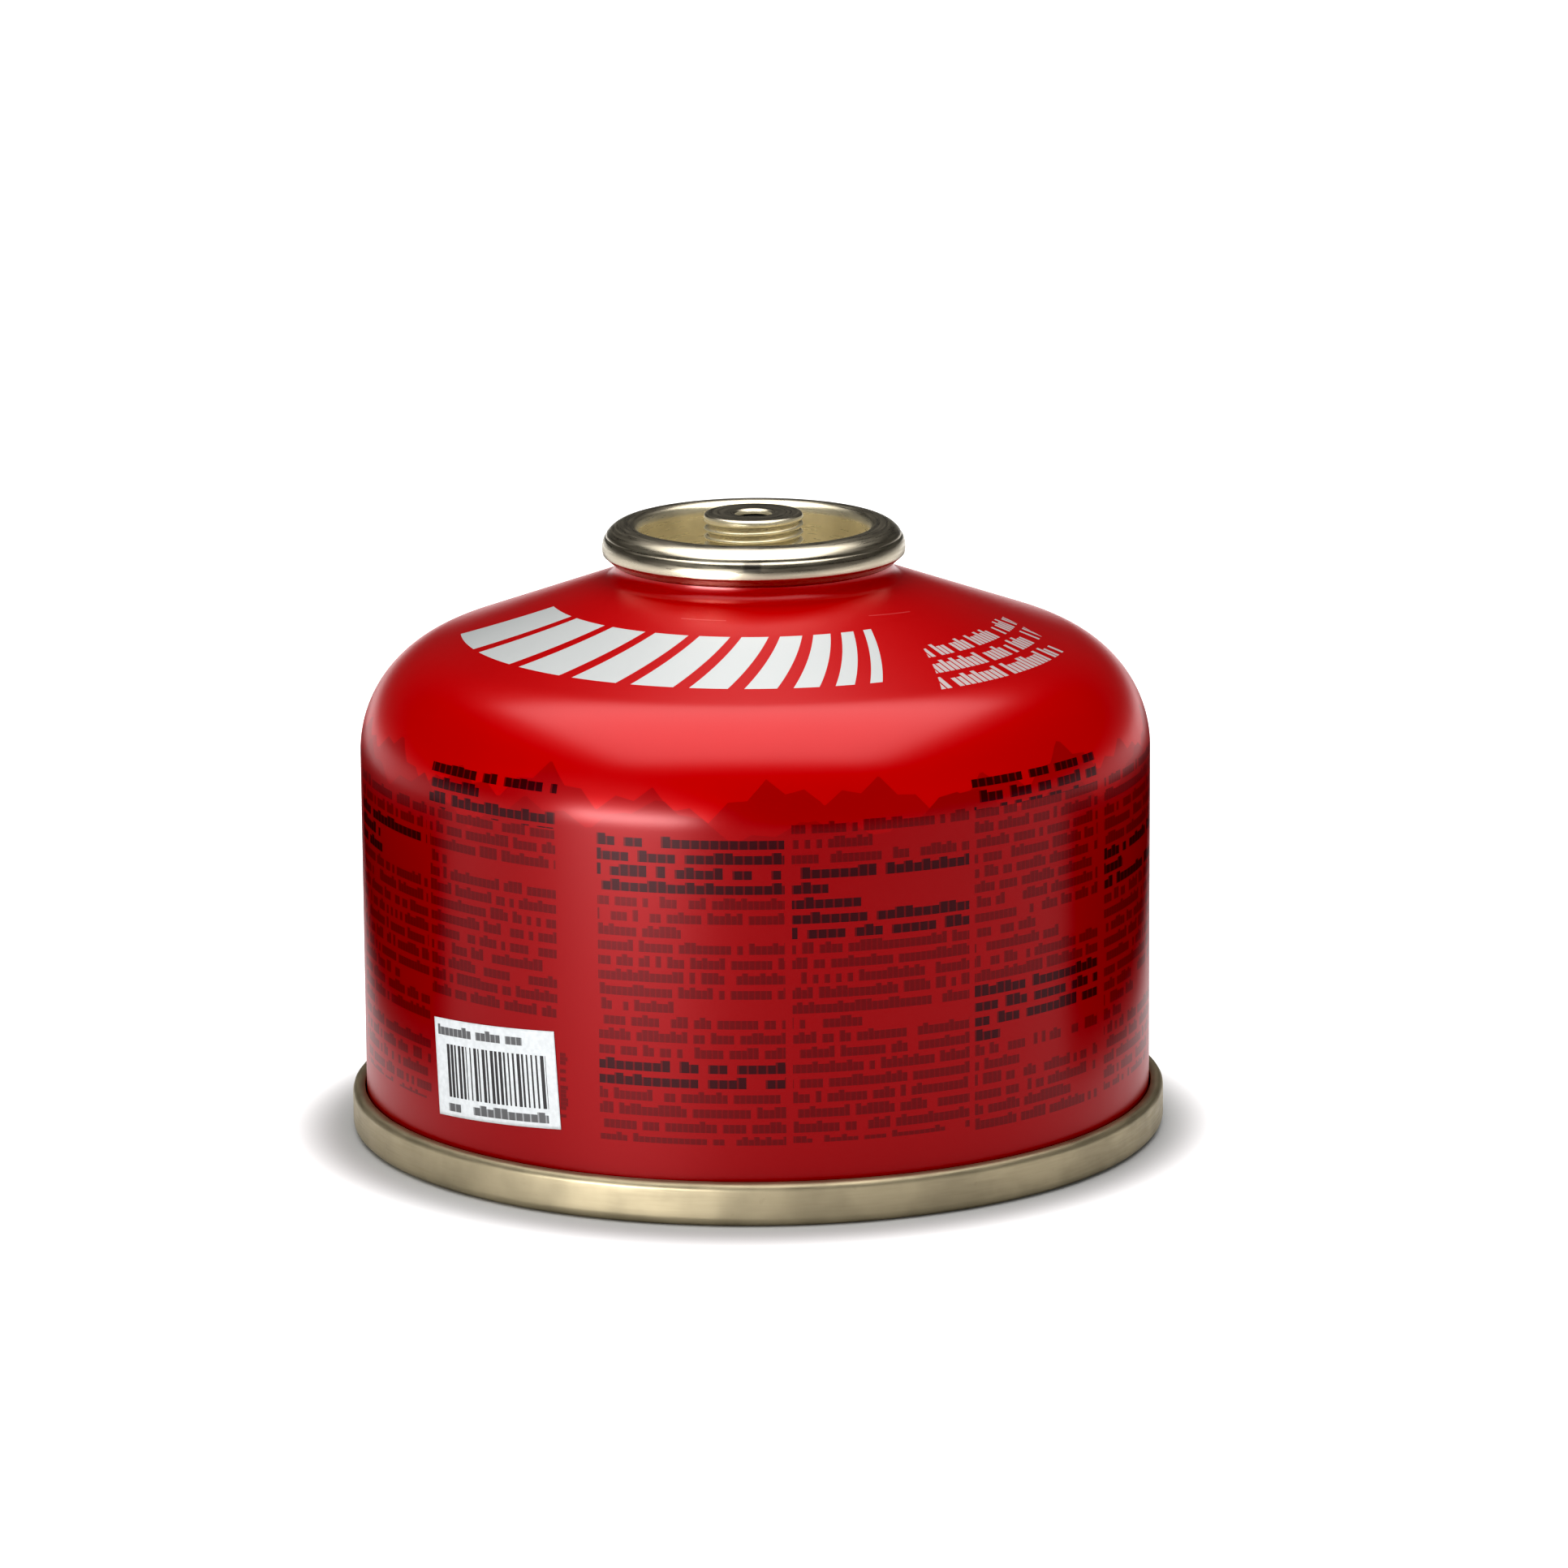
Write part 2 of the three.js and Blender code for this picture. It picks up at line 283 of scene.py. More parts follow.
def dash_rows(along, up, pitch, dash_width, seed, gap_depth=0.35):
    """Rows of dashes: each row is cut into cells, some of them blank and some taller, with a paler gap at
    each cell's start. along, up, pitch and dash_width are in millimetres."""
    row = (up / pitch).maths("FLOOR")
    in_row = (up / pitch).maths("FRACT")
    shifted = along / dash_width + chance(row, row, seed) * 7.0
    cell = shifted.maths("FLOOR")
    in_cell = shifted.maths("FRACT")
    filled = chance(cell, row, seed + 1) > 0.17
    tall = chance(cell, row, seed + 2) > 0.7
    inked = in_row.within(0.12, 0.70) + in_row.within(0.69, 0.88) * tall
    gap = 1.0 - (in_cell < 0.22) * gap_depth
    return filled * inked.maths("MINIMUM", 1.0) * gap


# Red lacquer and print
# The sheet is coated bright red and printed, then a clear gloss varnish goes over all. The print is darker
# red hills round the wall with columns of short dashes over them, and white slanted bars on the cone.
bright_red = (0.42, 0.0003, 0.0020, 1)
hill_red = (0.31, 0.0006, 0.003, 1)
near_hill_red = (0.26, 0.0006, 0.003, 1)
dash_red = (0.115, 0.0010, 0.003, 1)
bold_dash_red = (0.036, 0.002, 0.005, 1)
print_white = (0.50, 0.51, 0.505, 1)

shader, place = finish_of("red_lacquer_print", can_shell)
across, away, height = pick(place, 0), pick(place, 1), pick(place, 2)
turn = across.maths("ARCTAN2", 0.0 - away) * math.degrees(1)
from_axis = (across * across + away * away).maths("SQRT")
along_wall = turn * math.radians(wall_radius / mm)


def peaks(count, shift, rise):
    """Straight-sided peaks along the can's girth, a whole number of them so that they close."""
    return (turn + shift).maths("PINGPONG", 180 / count) * (rise * count / 180)


far_hills = 43.0 + peaks(9, 11.0, 2.2) + peaks(22, 203.0, 2.6) + peaks(67, 200.0, 1.0)
near_hills = 40.2 + peaks(7, 250.0, 2.4) + peaks(17, 214.0, 3.0) + peaks(53, 201.0, 0.9)
on_far = height < far_hills
on_near = height < near_hills
colour = on_far.mix(bright_red, hill_red)
colour = on_near.mix(colour, near_hill_red)

row_pitch = 1.62
dash_length, bold_dash_length = 0.62, 1.02
columns = [
    # start and end in degrees, top and foot in millimetres, bold rows as (top, foot)
    (-81.0, -54.2, 42.0, 9.0, [(39.0, 34.2)]),
    (-53.4, -29.2, 46.6, 21.2, [(46.6, 41.8)]),
    (-22.7, 3.9, 42.1, 8.6, [(42.1, 35.7), (17.9, 14.7)]),
    (4.9, 31.2, 43.6, 8.8, [(38.8, 30.8)]),
    (32.1, 57.6, 46.4, 8.0, [(46.4, 43.2), (24.2, 17.8)]),
    (59.6, 85.0, 43.4, 8.6, [(35.6, 30.8)]),
    (87.0, 112.5, 44.0, 8.6, [(44.0, 39.2), (22.4, 19.2)]),
    (114.5, 140.0, 42.4, 8.6, [(31.0, 26.2)]),
    (142.0, 167.5, 43.6, 8.6, [(43.6, 38.8)]),
    (-167.5, -142.0, 43.6, 8.6, [(38.8, 32.4)]),
    (-139.6, -112.4, 42.0, 8.6, [(42.0, 38.8), (20.8, 16.0)]),
    (-110.2, -83.4, 43.6, 8.6, [(34.0, 29.2)]),
]
in_column = 0.0
in_bold = 0.0
row = (height / row_pitch).maths("FLOOR")
for number, (start, end, top, foot, bold_rows) in enumerate(columns):
    ends_early = chance(row, float(number), 50) > 0.87
    last_dash = chance(row, float(number), 51) * (end - start) * 0.7 + start + 2.0
    band = turn.within(start, end) * (1.0 - ends_early * (turn > last_dash))
    in_column = band * height.within(foot, top) + in_column
    for bold_top, bold_foot in bold_rows:
        in_bold = band * height.within(bold_foot, bold_top) + in_bold
dashes = dash_rows(along_wall, height, row_pitch, dash_length, 3)
bold_dashes = dash_rows(along_wall, height, row_pitch, bold_dash_length, 8)
colour = (dashes * in_column * (1.0 - in_bold) * 0.85).mix(colour, dash_red)
colour = (bold_dashes * in_bold * 0.95).mix(colour, bold_dash_red)
margin_dashes = dash_rows(height, along_wall, 1.3, 0.45, 21)
in_margin = turn.within(-28.9, -27.5) * height.within(10.4, 17.6)
colour = (margin_dashes * in_margin * 0.8).mix(colour, dash_red)

# White bars on the cone lean with their heads to the right and get narrower along the arc.
bar_foot, bar_head, bar_lean = 32.2, 22.4, 9.0
lean = (bar_foot - from_axis) / (bar_foot - bar_head) * bar_lean
bar_turn = turn - lean
bars = 0.0
bar_start = -86.0
bar_gap = 3.1
for bar_width in (15.0, 13.0, 11.4, 10.0, 8.6, 7.4, 6.2, 5.0, 3.8, 2.6):
    bars = bar_turn.within(bar_start, bar_start + bar_width) + bars
    bar_start += bar_width + bar_gap
on_cone = height > 50.0
white = bars * from_axis.within(bar_head, bar_foot) * on_cone
line_foot = 35.2
line_pitch = 2.9
line_head = line_foot - 3 * line_pitch
line_dashes = dash_rows(turn * 0.52, line_foot - from_axis, line_pitch, 0.74, 36, 1.0)
in_lines = (turn + from_axis * 0.9).within(66.0, 107.0) * from_axis.within(line_head, line_foot)
white = white + line_dashes * in_lines * on_cone * 0.85
colour = white.maths("MINIMUM", 1.0).mix(colour, print_white)

# Two hair-fine paler lines are painted on the cone near the neck as painted highlights.
near_neck = (from_axis - 19.3).maths("ABSOLUTE") < 0.07
leaning = (from_axis - turn * 0.05 - 18.1).maths("ABSOLUTE") < 0.08
painted_highlight_lines = near_neck * turn.within(-24.0, -9.0) + leaning * turn.within(38.0, 54.0)
colour = (painted_highlight_lines * 0.3).mix(colour, (0.62, 0.20, 0.20, 1))

orange_peel = place.noise(420.0, 3.0)
handling = place.noise(60.0, 4.0, 0.6)
feed(shader, Base_Color=colour, Metallic=0.15, Roughness=handling.smooth(0.35, 0.75, 0.40, 0.46),
     Specular_IOR_Level=0.05, Coat_Weight=height.smooth(43.0, 50.0, 0.52, 1.0), Coat_IOR=1.5,
     Coat_Roughness=0.26, Normal=orange_peel.bump(0.04, 0.02 * mm))


# Base end
# Gold-lacquered tinplate pressed to a shallow hollow dome, its edge rolled together with the can's
# flange to the double seam that the canister stands on.
base_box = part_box("base_end")
seam_radius = base_box[1].x
seam_height = 4.7 * mm
seam_clearance = 0.15 * mm
seam_inner = wall_radius + seam_clearance
seam_edge = 0.1 * mm
seam_floor = 1.1 * mm
seam_foot_round = 1.1 * mm
seam_top_round = 0.8 * mm
end_wall_inner = 42.0 * mm
end_sheet = 0.5 * mm
chuck_height = 3.6 * mm
chuck_fillet = 1.5 * mm
base_dome_radius = 125 * mm
waver_height = 0.02 * mm
waver_inset = 0.04 * mm


def end_line(distance, steps):
    """One face of the domed panel from the chuck wall's head to the axis: a fillet, then a wide arc."""
    fillet = chuck_fillet + distance
    centre_radius = end_wall_inner + distance - fillet
    dome = base_dome_radius + distance
    edge = math.degrees(math.acos(centre_radius / (dome - fillet)))
    dome_centre = chuck_height - (dome - fillet) * math.sin(math.radians(edge))
    return np.concatenate([arc((centre_radius, chuck_height), fillet, 0, edge, 8)[:-1],
                           arc((0, dome_centre), dome, edge, 90, steps)[:-1],
                           [(0, dome_centre + dome)]])


base_profile = np.concatenate([
    end_line(0, 24)[::-1],
    line((end_wall_inner, chuck_height), (end_wall_inner, seam_foot_round), 3),
    arc((end_wall_inner + seam_foot_round, seam_foot_round), seam_foot_round, 180, 270, 8),
    arc((seam_radius - seam_foot_round, seam_foot_round), seam_foot_round, 270, 360, 10),
    line((seam_radius, seam_foot_round), (seam_radius, seam_height - seam_top_round), 5),
    arc((seam_radius - seam_top_round, seam_height - seam_top_round), seam_top_round, 0, 90, 10),
    [(seam_inner + seam_edge, seam_height), (seam_inner, seam_height - seam_edge)],
    line((seam_inner, seam_height), (seam_inner, seam_floor), 3),
    [(seam_inner, seam_floor), (end_wall_inner + end_sheet, seam_floor)],
    line((end_wall_inner + end_sheet, seam_floor), (end_wall_inner + end_sheet, chuck_height), 3),
    end_line(end_sheet, 12),
])


def seam_waver(angle, radius, height):
    """Rolling leaves the seam's outer face a little uneven round the can: low sines of the angle."""
    outside = np.clip((radius - seam_inner) / (seam_radius - seam_inner), 0, 1)
    waver = np.sin(9 * angle + 0.4) + 0.6 * np.sin(23 * angle + 1.9) + 0.4 * np.sin(52 * angle)
    return outside * (waver_height * waver - waver_inset)


base_points, base_faces = turned(base_profile, can_sides, seam_waver)
base_ring = add_mesh("base_ring", base_points, base_faces, "can", "base_end", "gold_base")


def gold_lacquer(name, pieces, tint, dull, streak):
    """Gold lacquer over bright tinplate: fine rolling streaks that run round the piece, faint clouding and
    small dark specks where the lacquer is rubbed. Returns its shader, colour and the three coordinates."""
    shader, place = finish_of(name, *pieces)
    across, away, height = pick(place, 0), pick(place, 1), pick(place, 2)
    round_axis = (across * across + away * away).maths("SQRT")
    ring_point = place.node("ShaderNodeCombineXYZ", {}, {0: across * 0.25, 1: away * 0.25, 2: height * 4.0})
    streaks = ring_point.node("ShaderNodeTexNoise", {"noise_dimensions": "4D"},
                              {"Vector": ring_point, "W": round_axis * 4.0, "Scale": 1.0, "Detail": 4.0})
    clouds = place.noise(160.0, 3.0)
    specks = place.noise(900.0, 1.0) > 0.76
    worn = tuple(channel * 0.82 for channel in tint[:3]) + (1,)
    colour = clouds.smooth(0.35, 0.7).mix(tint, worn)
    colour = (specks * 0.06).mix(colour, (0.12, 0.09, 0.05, 1))
    feed(shader, Base_Color=colour, Metallic=0.75, Normal=streaks.bump(streak, 0.05 * mm),
         Roughness=streaks.smooth(0.3, 0.7, dull - 0.05, dull + 0.08))
    return shader, colour, (across, away, height)


# Painted shade: the base's gold lacquer is given a darker tint than the cup's, to tone down the light its
# seam reflects.
gold_lacquer("gold_tinplate_base_painted_shade", [base_ring], (0.41, 0.36, 0.255, 1), 0.45, 0.02)


# Price sticker
# A paper sticker, stuck on the wall by hand with a slight lean, with printed stripes and dashes.
sticker_turn = math.radians(-40.9)
sticker_middle = 13.8 * mm
sticker_width, sticker_height = 17.6 * mm, 10.7 * mm
sticker_lean = math.radians(3.9)
sticker_thickness = 0.09 * mm
sticker_gap = 0.015 * mm

steps_across, steps_up = 56, 28
share_across = np.linspace(-1, 1, steps_across + 1)
share_up = np.linspace(-1, 1, steps_up + 1)
across_grid, up_grid = np.meshgrid(share_across * sticker_width / 2, share_up * sticker_height / 2)
leaned_across = across_grid * math.cos(sticker_lean) - up_grid * math.sin(sticker_lean)
leaned_up = across_grid * math.sin(sticker_lean) + up_grid * math.cos(sticker_lean)


def sticker_sheet(lift):
    """The flat sticker grid wrapped on the wall: girth over radius is the angle, at a lift off the wall."""
    angle = sticker_turn + leaned_across / wall_radius
    radius = wall_radius + lift
    return np.stack([radius * np.sin(angle), -radius * np.cos(angle), sticker_middle + leaned_up], axis=2)


front_sheet = sticker_sheet(sticker_thickness).reshape(-1, 3)
back_sheet = sticker_sheet(sticker_gap).reshape(-1, 3)
front_index = np.arange(len(front_sheet)).reshape(steps_up + 1, steps_across + 1)
front_faces = np.stack([front_index[:-1, :-1], front_index[:-1, 1:], front_index[1:, 1:],
                        front_index[1:, :-1]], axis=2).reshape(-1, 4)
rim = np.concatenate([front_index[0, :-1], front_index[:-1, -1],
                      front_index[-1, :0:-1], front_index[:0:-1, 0]])
rim_after = np.roll(rim, -1)
rim_faces = np.stack([rim, rim + len(front_sheet), rim_after + len(front_sheet), rim_after], axis=1)
back_faces = front_faces[:, ::-1] + len(front_sheet)
sticker = add_mesh("sticker", np.concatenate([front_sheet, back_sheet]),
                   np.concatenate([front_faces, back_faces, rim_faces]).tolist(), "can")
flat_place = np.stack([across_grid, up_grid], axis=2).reshape(-1, 2) / mm
corner_points = np.zeros(len(sticker.data.loops), np.int32)
sticker.data.loops.foreach_get("vertex_index", corner_points)
sticker_map = sticker.data.uv_layers.new(name="sticker_map")
sticker_map.data.foreach_set("uv", np.tile(flat_place, (2, 1))[corner_points].ravel())

shader, place = finish_of("sticker_paper", sticker)
flat = place.node("ShaderNodeUVMap", {"uv_map": "sticker_map"}, {})
flat_across = flat.node("ShaderNodeSeparateXYZ", {}, {0: flat}, 0)
flat_up = flat.node("ShaderNodeSeparateXYZ", {}, {0: flat}, 1)
stripe_pitch = 0.62
upper_foot, lower_foot = 3.35, -4.95
sticker_row = 1.5
stripe_place = flat_across / stripe_pitch
stripe_number = stripe_place.maths("FLOOR")
stripe = stripe_place.maths("FRACT") < chance(stripe_number, stripe_number, 5) * 0.55 + 0.2
in_stripes = flat_across.within(-6.9, 7.5) * flat_up.within(-3.2, 2.6)
upper_row = dash_rows(flat_across, flat_up - upper_foot, sticker_row, 0.72, 12)
upper_row = upper_row * flat_across.within(-8.2, 4.6) * flat_up.within(upper_foot, upper_foot + sticker_row)
lower_row = dash_rows(flat_across, flat_up - lower_foot, sticker_row, 1.0, 14)
lower_row = lower_row * flat_across.within(-8.0, 7.4) * flat_up.within(lower_foot, lower_foot + sticker_row)
ink = (stripe * in_stripes + upper_row * 0.85 + lower_row * 0.85).maths("MINIMUM", 1.0)
fibres = place.noise(1800.0, 3.0)
paper = fibres.smooth(0.3, 0.7).mix((0.62, 0.64, 0.65, 1), (0.56, 0.58, 0.59, 1))
feed(shader, Base_Color=ink.mix(paper, (0.035, 0.032, 0.034, 1)), Roughness=0.55,
     Normal=fibres.bump(0.1, 0.02 * mm))


# Valve cup
# Drawn from gold-lacquered tinplate: a bead crimped over the neck curl, a straight wall, a flat floor
# and the stud in the middle, with its thread rolled into the sheet.
cup_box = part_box("valve_cup")
cup_sheet = 0.4 * mm
stud_top = cup_box[1].z
bead_radius = 2.7 * mm
bead_inner_round = 1.3 * mm
bead_lip_angle = 12
bead_lip_slope = math.radians(41.5)
bead_top = curl_height + bead_radius
cup_floor = bead_top - 5.9 * mm
cup_fillet = 1.1 * mm
cup_inner = curl_centre[0] - bead_inner_round
thread_major = 5.45 * mm
thread_depth = 0.5 * mm
thread_root = thread_major - thread_depth
thread_pitch = 25.4 / 28 * mm
stud_edge = 0.5 * mm
stud_foot = 0.6 * mm
stud_mouth = 1.9 * mm
mouth_round = 0.6 * mm
thread_turns = 5.6
thread_runout = 0.35 * mm
thread_head = stud_top - stud_edge
thread_foot = thread_head - thread_turns * thread_pitch
thread_rows = 112
lip_clearance = 0.15 * mm
crease_angle = 30
crease_spread = 3.5
crease_depth = 0.07 * mm


def bead_line(inset, steps):
    """One face of the bead: lip, outer arc and inner arc, moved inwards by the sheet for the inside. The
    outer arc has the faint groove that the crimping collet leaves, a bell curve of the angle."""
    radius = bead_radius - inset
    angles = np.linspace(-bead_lip_angle, 90, steps + 1)
    groove = crease_depth * np.exp(-((angles - crease_angle) / crease_spread) ** 2)
    outer = arc(curl_centre, radius, -bead_lip_angle, 90, steps)
    outer -= groove[:, None] * np.stack([np.cos(np.radians(angles)), np.sin(np.radians(angles))], axis=1)
    lip_start = arc(curl_centre, radius, -bead_lip_angle, -bead_lip_angle, 1)[0]
    lip_end = neck_radius + lip_clearance
    lip = (lip_end, lip_start[1] - (lip_start[0] - lip_end) * math.tan(bead_lip_slope))
    return np.concatenate([[lip], line(lip, lip_start, 4), outer,
                           arc((curl_centre[0], bead_top - bead_inner_round), bead_inner_round - inset,
                               90, 180, steps // 2)[1:]])


stud_bore = thread_root - cup_sheet
bore_round = stud_edge - cup_sheet
floor_inside = cup_floor - cup_sheet
cup_profile = np.concatenate([
    bead_line(0, 64),
    line((cup_inner, bead_top - bead_inner_round), (cup_inner, cup_floor + cup_fillet), 6),
    arc((cup_inner - cup_fillet, cup_floor + cup_fillet), cup_fillet, 360, 270, 10),
    line((cup_inner - cup_fillet, cup_floor), (thread_root + stud_foot, cup_floor), 6),
    arc((thread_root + stud_foot, cup_floor + stud_foot), stud_foot, 270, 180, 8),
    line((thread_root, thread_foot), (thread_root, thread_head), thread_rows),
    arc((thread_major - stud_edge, thread_head), stud_edge, 0, 90, 12),
    arc((stud_mouth + mouth_round, stud_top - mouth_round), mouth_round, 90, 180, 12),
    arc((stud_mouth + mouth_round, stud_top - mouth_round), mouth_round - cup_sheet, 180, 90, 5),
    arc((stud_bore - bore_round, stud_top - cup_sheet - bore_round), bore_round, 90, 0, 4),
    line((stud_bore, stud_top - cup_sheet), (stud_bore, floor_inside + stud_foot + cup_sheet), 4),
    arc((thread_root + stud_foot, floor_inside + stud_foot + cup_sheet), stud_foot + cup_sheet, 180, 270, 6),
    arc((cup_inner - cup_fillet, cup_floor + cup_fillet), cup_fillet + cup_sheet, -90, 0, 6),
    bead_line(cup_sheet, 12)[::-1],
])


def rolled_thread(angle, radius, height):
    """The rolled thread: a rounded ridge that climbs one pitch a turn to the right, as a raised cosine of
    height over pitch less the share of a turn. It rises from the root and its groove ends in the cap."""
    on_stud = (np.abs(radius - thread_root) < 0.01 * mm) & (height > thread_foot) & (height < thread_head)
    from_foot = np.clip((height - thread_foot) / thread_runout, 0, 1)
    from_head = np.clip((thread_head - height) / thread_runout, 0, 1)
    ridge = (0.5 + 0.5 * np.cos(2 * math.pi * height / thread_pitch - (angle - math.pi / 2))) ** 0.7
    return on_stud * thread_depth * (1 - (1 - ridge * from_foot) * from_head)


cup_points, cup_faces = turned(cup_profile, 192, rolled_thread)
cup_shell = add_mesh("cup_shell", cup_points, cup_faces, "can", "valve_cup", "gold_cup")
# Painted light: the cup's gold lacquer is given a lighter tint than the base's, to lift its shaded inside.
shader, colour, (across, away, height) = gold_lacquer("gold_tinplate_cup_painted_light", [cup_shell],
                                                      (0.80, 0.73, 0.54, 1), 0.30, 0.006)
round_axis = (across * across + away * away).maths("SQRT")
turn = across.maths("ARCTAN2", 0.0 - away) * math.degrees(1)

# The bead and the stud's top plate turn to a greyer, darker tin colour with full metal: the greyer tone is
# the tin's, and the darkening is painted shade for their upward faces. A small dark patch sits on the bead's
# front.
# Painted shade: the bead and the stud's top plate are coloured darker and greyer.
grey_tin_and_painted_shade = round_axis.smooth(12.5, 13.3).maths("MAXIMUM", height > 68.2)
colour = (grey_tin_and_painted_shade * 0.9).mix(colour, (0.52, 0.475, 0.39, 1))
# A small dark patch on the bead's front.
mark_across = (turn + 0.6).maths("ABSOLUTE").smooth(2.4, 4.2, 1.0, 0.0)
mark_up = (height - 65.45).maths("ABSOLUTE").smooth(0.35, 0.7, 1.0, 0.0)
dark_mark = mark_across * mark_up * (round_axis > 15.6)
feed(shader, Base_Color=(dark_mark * 0.6).mix(colour, (0.13, 0.12, 0.12, 1)),
     Metallic=grey_tin_and_painted_shade.smooth(0.0, 1.0, 0.65, 1.0))


# Valve
# A rubber washer under the stud's top plate, a white moulded stem with its disc and spindle, a coil
# spring under the disc, and the moulded housing that holds them. A ring of rubber seals the bead.
washer_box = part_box("stem_gasket")
stem_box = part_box("valve_stem")
spring_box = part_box("valve_spring")
washer_hole = 1.5 * mm
washer_edge = 0.35 * mm
washer_rim, washer_foot, washer_head = washer_box[1].x, washer_box[0].z, washer_box[1].z
washer_seat = washer_head - 0.25 * mm
washer_profile = [(washer_hole, washer_foot), (washer_rim, washer_foot),
                  (washer_rim, washer_head - washer_edge), (washer_rim - washer_edge, washer_head),
                  (stud_mouth + mouth_round, washer_head), (stud_mouth + 0.3 * mm, washer_seat),
                  (washer_hole + 0.2 * mm, washer_seat), (washer_hole, washer_head - 0.4 * mm)]
washer = add_mesh("washer", *turned(washer_profile, 96), "can", "stem_gasket", "black_rubber")

stem_foot, stem_head = stem_box[0].z, stem_box[1].z
stem_disc_head = stem_head - 0.7 * mm
stem_disc_foot = stem_disc_head - 1.2 * mm
stem_disc = stem_box[1].x
stem_tip, stem_spindle = 1.2 * mm, 1.1 * mm
spindle_edge, disc_edge, tip_round = 0.2 * mm, 0.1 * mm, 0.15 * mm
dish_rim, dish_wall, dish_floor = 0.62 * mm, 0.55 * mm, 0.5 * mm
dish_depth = 0.45 * mm
stem_profile = np.concatenate([
    [(0, stem_foot), (stem_spindle - spindle_edge, stem_foot), (stem_spindle, stem_foot + spindle_edge)],
    [(stem_spindle, stem_disc_foot), (stem_disc - disc_edge, stem_disc_foot)],
    [(stem_disc, stem_disc_foot + disc_edge), (stem_disc, stem_disc_head - disc_edge)],
    [(stem_disc - disc_edge, stem_disc_head), (stem_tip, stem_disc_head)],
    arc((stem_tip - tip_round, stem_head - tip_round), tip_round, 0, 90, 4),
    [(dish_rim, stem_head), (dish_wall, stem_head - 0.1 * mm)],
    [(dish_floor, stem_head - dish_depth), (0, stem_head - dish_depth)],
])
stem = add_mesh("stem", *turned(stem_profile, 96), "stem", "valve_stem", "white_plastic")

spring_wire = 0.3 * mm
spring_radius = spring_box[1].x - spring_wire
spring_turns = 6
wire_steps, wire_sides = 480, 16
end_share = 0.003


def coil(bottom, top):
    """Round wire along a helix: the helix point plus the wire radius times the cosine of its girth along the
    outward direction and the sine along the upward one. Each end closes on a point."""
    share = np.linspace(0, 1, wire_steps + 1)[:, None]
    turned_by = 2 * math.pi * spring_turns * share
    girth = np.linspace(0, 2 * math.pi, wire_sides, endpoint=False)[None, :]
    into_end = np.clip(np.abs(share - 0.5) - (0.5 - end_share), 0, 1) / end_share
    end_taper = np.sqrt(np.clip(1 - into_end ** 2, 0, 1))
    outward = spring_radius + spring_wire * end_taper * np.cos(girth)
    height = bottom + (top - bottom) * share + spring_wire * end_taper * np.sin(girth)
    points = np.stack([outward * np.cos(turned_by), outward * np.sin(turned_by), height], axis=2)
    index = np.arange(points.size // 3).reshape(wire_steps + 1, wire_sides)
    beside = np.roll(index, -1, axis=1)
    faces = np.stack([index[:-1], index[1:], beside[1:], beside[:-1]], axis=2).reshape(-1, 4)
    last_row = wire_steps * wire_sides
    faces[faces < wire_sides] = 0
    faces[faces >= last_row] = last_row
    return joined(points, faces)


coil_points, coil_faces = coil(spring_box[0].z + spring_wire, spring_box[1].z - spring_wire)
spring = add_mesh("spring", coil_points, coil_faces, "can", "valve_spring", "spring_steel")
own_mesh(spring)

shader, place = finish_of("black_rubber_finish", washer, nodes["cup_gasket"])
grain = place.noise(2500.0, 3.0)
feed(shader, Base_Color=grain.smooth(0.3, 0.7).mix((0.012, 0.012, 0.013, 1), (0.03, 0.03, 0.031, 1)),
     Roughness=grain.smooth(0.3, 0.7, 0.6, 0.75), Normal=grain.bump(0.2, 0.02 * mm))
shader, place = finish_of("white_plastic_finish", stem, nodes["valve_housing"])
grain = place.noise(1500.0, 2.0)
feed(shader, Base_Color=grain.smooth(0.3, 0.7).mix((0.72, 0.71, 0.67, 1), (0.66, 0.65, 0.61, 1)),
     Roughness=grain.smooth(0.3, 0.7, 0.42, 0.52), Normal=grain.bump(0.1, 0.02 * mm))
shader, place = finish_of("spring_wire_finish", spring)
drawn = place.noise(3000.0, 2.0)
feed(shader, Base_Color=drawn.smooth(0.3, 0.7).mix((0.62, 0.62, 0.64, 1), (0.5, 0.5, 0.52, 1)), Metallic=1.0,
     Roughness=drawn.smooth(0.3, 0.7, 0.25, 0.35), Normal=drawn.bump(0.1, 0.01 * mm))


# Studio
# A white floor that glows away from the can like a light table, its glow left out round the can's foot as a
# painted contact shadow, a wide soft light overhead, a low card in front on the left, and a soft fill and a
# black card on each side. The camera looks down 13 degrees.
floor_size = 6.0
can_foot = (-0.0008, -0.002, 0)
floor_mesh = bpy.data.meshes.new("floor")
floor_corners = [(-floor_size, -floor_size, 0), (floor_size, -floor_size, 0),
                 (floor_size, floor_size, 0), (-floor_size, floor_size, 0)]
floor_mesh.from_pydata(floor_corners, [], [(0, 1, 2, 3)])
floor = bpy.data.objects.new("floor", floor_mesh)
bpy.context.scene.collection.objects.link(floor)
shader, place = finish_of("floor_paper_painted_shadow", floor)
from_can = place.node("ShaderNodeVectorMath", {"operation": "DISTANCE"}, {0: place, 1: can_foot}, "Value")
behind = pick(place, 1)
